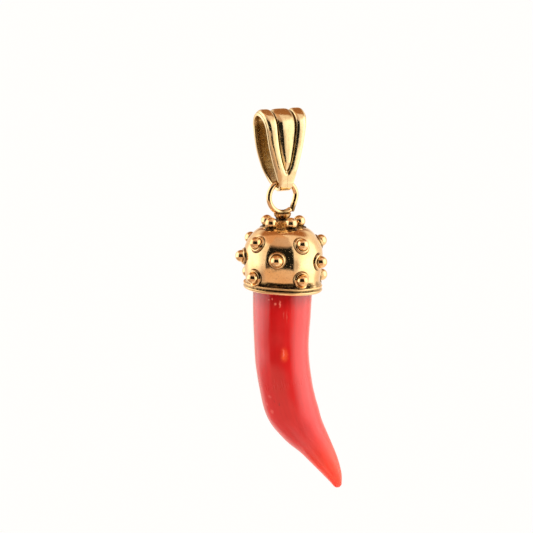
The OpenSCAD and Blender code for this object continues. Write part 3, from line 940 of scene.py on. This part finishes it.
# The neck's and the mound's section: radius, height over the flat top, painted shade
NECK_ROWS = [
    (0.50, NECK_H - 0.6, 1.0), (0.66, NECK_H - 0.3, 1.0), (0.74, NECK_H - 0.18, 0.9),
    (0.82, NECK_H - 0.13, 0.6), (0.92, NECK_H - 0.11, 0.45), (NECK_R - 0.06, NECK_H - 0.13, 0.4),
    (NECK_R - 0.01, NECK_H - 0.18, 0.4), (NECK_R - 0.02, NECK_H - 0.26, 0.3),
    (NECK_R - 0.06, NECK_H - 0.42, 0.3), (NECK_R - 0.13, NECK_H - 0.55, 0.5),
    (NECK_R - 0.24, NECK_H - 0.66, 0.9), (NECK_R - 0.28, NECK_H - 0.85, 1.0),
    (NECK_R - 0.18, MOUND_H + 0.04, 0.9), (NECK_R - 0.04, MOUND_H - 0.08, 0.4),
    (NECK_R + 0.12, 0.66, 0.25), (NECK_R + 0.35, 0.50, 0.2), (NECK_R + 0.62, 0.34, 0.25),
    (NECK_R + 0.90, 0.19, 0.3), (MOUND_R - 0.1, 0.08, 0.4), (MOUND_R + 0.1, 0.0, 0.5),
    (MOUND_R + 0.3, -0.07, 0.4), (MOUND_R + 0.6, -0.2, 0.3),
]
# The mound is more ragged than the neck. The change comes between these heights, as negatives.
MOUND_BELOW = (-1.2, -0.7)
NECK_WAVE = (0.9, 0.05, 6.3)
MOUND_WAVE = (0.42, 0.10, 3.9)
MOUND_WAVE_UP = (0.5, 0.09, 5.2)


def make_neck():
    """The short tube under the ring, and the solder mound that flows from its foot."""
    build = Build()
    points = []
    for p in lathe(NECK_ROWS, NECK_SIDES):
        out = Vector((p.x, p.y, 0)).normalized()
        low = ease(-p.z, *MOUND_BELOW)
        shift = unevenness(p, *NECK_WAVE) + low * unevenness(p, *MOUND_WAVE)
        points.append(p + out * shift + Vector((0, 0, low * unevenness(p, *MOUND_WAVE_UP))))
    # Painted shade under the ring and in the gap above the mound, lighter on the tube and the mound
    shade_and_brushing = [row[2] for row in NECK_ROWS for k in range(NECK_SIDES)]
    build.add(points, grid_faces(len(NECK_ROWS), NECK_SIDES, flip=True), shade_and_brushing)
    return build


# The ring's wire starts at SEAM_AT, in degrees clockwise from the ring's top, and goes once
# round. It leaves the circle in a straight line at SEAM_STRAIGHT, a little to the back, and ends
# SEAM_SHORT degrees before its own start.
SEAM_AT = 147.0
SEAM_SHORT = 5.0
SEAM_STRAIGHT = 112.0
SEAM_ASIDE = 0.06
# How much the ring is flattened at its lower right, over which degrees that comes in, and over
# which it goes, as negatives. It is only below the bail's leg at the swing's limits.
RING_FLAT = 0.13
FLAT_FROM = (75.0, 110.0)
FLAT_UNTIL = (-168.0, -118.0)
# How far the ring's foot was pulled down
RING_LOW = 0.20
RING_STEPS = 150
RING_SIDES = 28
RING_END_STEPS = 6
# How far each rounded wire end stands out, as a share of the wire's radius, and where its first
# ring of points lies, as a share of a step
START_ROUND = (0.7, 0.15)
END_ROUND = (0.45, 0.85)
# Painted shade on the wire, with its middle and half width in degrees: on the solder at its foot,
# at its left, and toward its last end from and to how many degrees before it
SOLDER_SHADE = (0.7, 180, 24)
LEFT_SHADE = (0.15, 275, 70)
END_SHADE = 0.6
END_DARK = (34, 8)
LAST_END_SHADE = 0.75


def ring_mid(turn):
    """The wire's middle at an angle clockwise from the top, seen from the front."""
    r = RING_R / cosd(max(0.0, turn - 360 - SEAM_STRAIGHT))
    aside = SEAM_ASIDE * ease(turn, 360 + SEAM_STRAIGHT, 360 + SEAM_AT)
    side = turn % 360
    flat = RING_FLAT * ease(side, *FLAT_FROM) * ease(-side, *FLAT_UNTIL)
    low = RING_LOW * (1 - cosd(turn)) / 2
    return Vector(((r - flat) * sind(turn), aside, -RING_R + r * cosd(turn) - low))


def make_ring():
    """The ring bent from round wire: its ends pass each other at the lower right."""
    first = SEAM_AT
    last = SEAM_AT + 360 - SEAM_SHORT
    half = RING_WIRE / 2
    stations = []
    for i in range(RING_END_STEPS):
        a = 90 * (1 - (i + START_ROUND[1]) / RING_END_STEPS)
        stations.append((first, -half * START_ROUND[0] * sind(a), half * cosd(a), 0.0))
    for i in range(RING_STEPS + 1):
        turn = mix(first, last, i / RING_STEPS)
        # Painted shade toward the last end, on the solder at the foot and at the left
        shade_and_brush_level = END_SHADE * ease(turn, last - END_DARK[0], last - END_DARK[1])
        for most, middle, wide in (SOLDER_SHADE, LEFT_SHADE):
            shade_and_brush_level = max(shade_and_brush_level, most * (1 - abs(turn - middle) / wide))
        stations.append((turn, 0.0, half, shade_and_brush_level))
    for i in range(RING_END_STEPS):
        a = 90 * (i + END_ROUND[1]) / RING_END_STEPS
        stations.append((last, half * END_ROUND[0] * sind(a), half * cosd(a), LAST_END_SHADE))
    points, shade_and_brushing = [], []
    side = Vector((0, 1, 0))
    for turn, run, r, shade_and_brush_level in stations:
        ahead = (ring_mid(turn + HEADING_STEP) - ring_mid(turn - HEADING_STEP)).normalized()
        out = side.cross(ahead).normalized()
        for k in range(RING_SIDES):
            a = 2 * math.pi * k / RING_SIDES
            points.append(ring_mid(turn) + ahead * run + (out * math.cos(a) + side * math.sin(a)) * r)
            shade_and_brushing.append(shade_and_brush_level)
    count = len(stations)
    faces = grid_faces(count, RING_SIDES, flip=True)
    faces.append(list(range(RING_SIDES)))
    faces.append([(count - 1) * RING_SIDES + k for k in reversed(range(RING_SIDES))])
    build = Build()
    build.add(points, faces, shade_and_brushing)
    return build


# The horn

HORN_STEPS = 14
HORN_SIDES = 112
HORN_SHARP = 60
TIP_STEPS = 14
# The tip's dome ends just short of its pole, in degrees.
TIP_LAST = 88
HORN_WAVES = ((4.5, 0.06, 2.9), (1.6, 0.014, 7.7))
# The waves are full from this far below the rim on, and fade where the horn is thinner than this.
WAVE_FULL = 2.0
WAVE_THIN = 1.5


def horn_mid(t):
    """The horn's middle and radius at a row number: x, z, r."""
    return (
        HORN_REACH * smooth_row(HORN_ROWS, t, 1),
        -HORN_H * smooth_row(HORN_ROWS, t, 0),
        HORN_D / 2 * smooth_row(HORN_ROWS, t, 2),
    )


def horn_heading(t):
    """How far the horn leans toward +X at a row number, in degrees from straight down."""
    p = horn_mid(max(0.0, t - HEADING_STEP))
    q = horn_mid(min(len(HORN_ROWS) - 1.0, t + HEADING_STEP))
    return math.degrees(math.atan2(q[0] - p[0], p[1] - q[1]))


def horn_stations():
    """(x, z, heading, radius, share of the length) from inside the cap to the tip."""
    rows = len(HORN_ROWS) - 1
    yield 0.0, STUB_H, 0.0, HORN_D / 2 - STUB_BEVEL, 0.0
    yield 0.0, STUB_H - STUB_BEVEL, 0.0, HORN_D / 2, 0.0
    for i in range(rows * HORN_STEPS + 1):
        x, z, r = horn_mid(i / HORN_STEPS)
        yield x, z, horn_heading(i / HORN_STEPS), r, -z / HORN_H
    x, z, r = horn_mid(rows)
    turn = horn_heading(rows)
    tip = max(TIP_R, r) / cosd(TIP_TAPER)
    for i in range(1, TIP_STEPS + 1):
        a = TIP_TAPER + i * (TIP_LAST - TIP_TAPER) / TIP_STEPS
        run = tip * (sind(a) - sind(TIP_TAPER))
        thin = r * cosd(a) / cosd(TIP_TAPER)
        yield x + run * sind(turn), z - run * cosd(turn), turn, thin, 1.0


def horn_shape():
    """Points and faces, the place of each in the coral's growth, and its share of the length."""
    points, grain, along = [], [], []
    walked = 0.0
    before = None
    stations = list(horn_stations())
    for x, z, turn, r, share in stations:
        mid = Vector((x, 0, z))
        walked += (mid - before).length if before else 0.0
        before = mid
        for k in range(HORN_SIDES):
            b = 2 * math.pi * k / HORN_SIDES
            out = Vector((math.cos(b) * cosd(turn), math.sin(b), math.cos(b) * sind(turn)))
            p = mid + out * r
            fade = ease(-z, 0.0, WAVE_FULL) * min(1.0, r / WAVE_THIN)
            height = sum(unevenness(p, *wave) for wave in HORN_WAVES)
            points.append(p + out * (height * fade))
            grain.append((HORN_D / 2 * math.cos(b), HORN_D / 2 * math.sin(b), walked))
            along.append(share)
    faces = grid_faces(len(stations), HORN_SIDES, flip=True)
    faces.append(list(range(HORN_SIDES)))
    last = (len(stations) - 1) * HORN_SIDES
    faces.append([last + k for k in reversed(range(HORN_SIDES))])
    return points, faces, {"grain": grain, "along": along}


def make_horn():
    """The horn, with its marks where the photograph's view has them."""
    points, faces, data = horn_shape()
    tree = BVHTree.FromPolygons([CAP_FRAME @ p for p in points], faces)
    places = [seen_at(tree, mark[0], mark[1]) for mark in CORAL_MARKS]
    mesh = make_mesh("horn_coral", points, faces, HORN_SHARP, CAP_FRAME, data)
    make_piece(mesh, coral_material("coral", places), "drop", "horn")


make_piece(make_bail(), gold_bail, "bail", "bail")
dome = Build()
dome.add(*make_dome())
dome_tree = BVHTree.FromPolygons(dome.points, dome.faces)
for name, build, matrix in (
    ("cap_dome", dome, CAP_FRAME),
    ("cap_rim", make_rim(), CAP_FRAME),
    ("cap_studs", make_studs(dome_tree), CAP_FRAME),
    ("cap_rosette", make_rosette(), NECK_FRAME),
    ("cap_neck", make_neck(), NECK_FRAME),
    ("cap_ring", make_ring(), Matrix.Translation(HINGE)),
):
    # Each gold piece's painted shade and brushing go to its material as an attribute
    data = {"shade_and_brushing": build.shade_and_brushing}
    gold_mesh = make_mesh(name, build.points, build.faces, CAP_SHARP, matrix, data)
    make_piece(gold_mesh, gold_cap, "drop", "cap")
make_horn()

# The camera

camera_data = bpy.data.cameras.new("camera")
camera_data.sensor_width = SENSOR
camera_data.lens = SENSOR * VIEW_DISTANCE / (PICTURE / PIXELS_PER_MM * MM)
camera_data.clip_start, camera_data.clip_end = CLIP
camera = bpy.data.objects.new("camera", camera_data)
camera.location = VIEW_FROM * MM
camera.rotation_mode = "QUATERNION"
camera.rotation_quaternion = (-VIEW_BACK).to_track_quat("-Z", "Y")
bpy.context.scene.collection.objects.link(camera)
bpy.context.scene.camera = camera

# The floor

FLOOR_Z = -0.12
FLOOR_R = 2.6
FLOOR_SIDES = 96
FLOOR_PALE = (0.9, 0.9, 0.9)
# How much of the floor's look is plain white where the camera sees it
FLOOR_WHITE = 0.85
WHITE = (1.0, 1.0, 1.0)


def make_floor():
    """A plain pale disc, seen from above and clear from below."""
    mesh = bpy.data.meshes.new("floor")
    turns = [2 * math.pi * k / FLOOR_SIDES for k in range(FLOOR_SIDES)]
    ring = [(FLOOR_R * math.cos(a), FLOOR_R * math.sin(a), FLOOR_Z) for a in turns]
    mesh.from_pydata(ring, [], [list(range(FLOOR_SIDES))])
    mat = bpy.data.materials.new("floor")
    mat.use_nodes = True
    n = Nodes(mat.node_tree)
    shaded = n.add("ShaderNodeBsdfDiffuse", {"Color": rgba(FLOOR_PALE)})
    white = n.add("ShaderNodeEmission", {"Color": rgba(WHITE)})
    seen = n.add("ShaderNodeLightPath").outputs["Is Camera Ray"]
    share = n.math("MULTIPLY", seen, FLOOR_WHITE)
    pale = n.add("ShaderNodeMixShader", {0: share, 1: shaded.outputs[0], 2: white.outputs[0]})
    clear = n.add("ShaderNodeBsdfTransparent")
    below = n.add("ShaderNodeNewGeometry").outputs["Backfacing"]
    both = n.add("ShaderNodeMixShader", {0: below, 1: pale.outputs[0], 2: clear.outputs[0]})
    n.add("ShaderNodeOutputMaterial", {"Surface": both.outputs[0]})
    mesh.materials.append(mat)
    floor = bpy.data.objects.new("floor", mesh)
    bpy.context.scene.collection.objects.link(floor)
    floor.visible_glossy = False


make_floor()

# The studio light: a white tent, and what it gives to matt surfaces from its left to its right
TENT = (1.05, 0.96, 0.88)
SOFT_LIGHT = (1.30, 2.05)
# How bright the tent is where the camera sees it
BACKDROP = 1.15
# The tent's zones as glossy surfaces see them, later ones over earlier ones. Columns: turn from
# and to, height from and to, soft edge at the sides, at the foot, at the top, colour. Turns are
# degrees to the right of the photograph's camera, heights are degrees above the horizon. A zone
# that ends beyond BEHIND_FROM is told by turns from 0 to 360.
BEHIND_FROM = 150
ZONES = [
    (54, 116, -90, 90, 18, 5, 5, (1.90, 1.92, 1.76)),
    (-132, -74, -90, 90, 16, 5, 5, (1.85, 1.83, 1.76)),
    (124, 224, -90, 90, 14, 5, 5, (0.96, 0.84, 0.72)),
    (-20, 380, -90, -22, 5, 5, 10, (1.10, 0.95, 0.85)),
    (-128, -48, -84, -16, 12, 8, 8, (0.52, 0.38, 0.33)),
    (30, 150, 44, 90, 16, 10, 5, (0.95, 0.78, 0.68)),
    (-160, 30, 46, 90, 16, 8, 5, (0.74, 0.42, 0.26)),
    (105, 255, 38, 90, 16, 10, 5, (0.40, 0.17, 0.07)),
    (160, 200, 14, 60, 8, 8, 5, (0.36, 0.15, 0.06)),
    (-58, 40, -64, -22, 9, 8, 6, (0.74, 0.48, 0.37)),
    (-58, 40, -28, -16, 7, 5, 3, (0.84, 0.58, 0.43)),
    (-54, 33, 38, 72, 6, 4, 8, (0.66, 0.46, 0.37)),
    (30, 46, -17, -6, 5, 4, 5, (0.66, 0.54, 0.46)),
    (-52, 34, -17, 43, 2.0, 1.5, 6, (0.014, 0.014, 0.012)),
]


def make_world():
    """The tent: its zones for glossy rays, an even light for matt ones, white for the camera."""
    world = bpy.data.worlds.new("studio")
    bpy.context.scene.world = world
    world.use_nodes = True
    n = Nodes(world.node_tree)
    toward = n.add("ShaderNodeTexCoord").outputs["Generated"]
    turned = n.add("ShaderNodeVectorRotate", {"Vector": toward, "Angle": -math.radians(VIEW_TURN)},
                   rotation_type="Z_AXIS").outputs[0]
    x, y, z = n.add("ShaderNodeSeparateXYZ", {0: turned}).outputs
    turn = n.math("DEGREES", n.math("ARCTAN2", x, n.math("MULTIPLY", y, -1.0)))
    turn_round = n.math("MODULO", n.math("ADD", turn, 360.0), 360.0)
    rise = n.math("DEGREES", n.math("ARCSINE", z))
    colour = rgba(TENT)
    for t0, t1, h0, h1, side, foot, top, shade in ZONES:
        way = turn if t1 < BEHIND_FROM else turn_round
        entered = n.fade(way, t0 - side, t0 + side)
        left = n.fade(way, t1 - side, t1 + side, 1.0, 0.0)
        risen = n.fade(rise, h0 - foot, h0 + foot)
        passed = n.fade(rise, h1 - top, h1 + top, 1.0, 0.0)
        across = n.math("MULTIPLY", entered, left)
        inside = n.math("MULTIPLY", across, n.math("MULTIPLY", risen, passed))
        colour = n.blend(inside, colour, rgba(shade))
    path = n.add("ShaderNodeLightPath")
    soft = n.fade(x, -1.0, 1.0, *SOFT_LIGHT)
    strength = n.fade(path.outputs["Is Glossy Ray"], 0.0, 1.0, soft, 1.0)
    tent = n.add("ShaderNodeBackground", {"Color": colour, "Strength": strength})
    plain = n.add("ShaderNodeBackground", {"Color": rgba(WHITE), "Strength": BACKDROP})
    both = n.add("ShaderNodeMixShader", {0: path.outputs["Is Camera Ray"], 1: tent.outputs[0],
                                         2: plain.outputs[0]})
    n.add("ShaderNodeOutputWorld", {"Surface": both.outputs[0]})


make_world()
bpy.context.scene.view_settings.view_transform = "Standard"
bpy.context.scene.view_settings.look = "None"
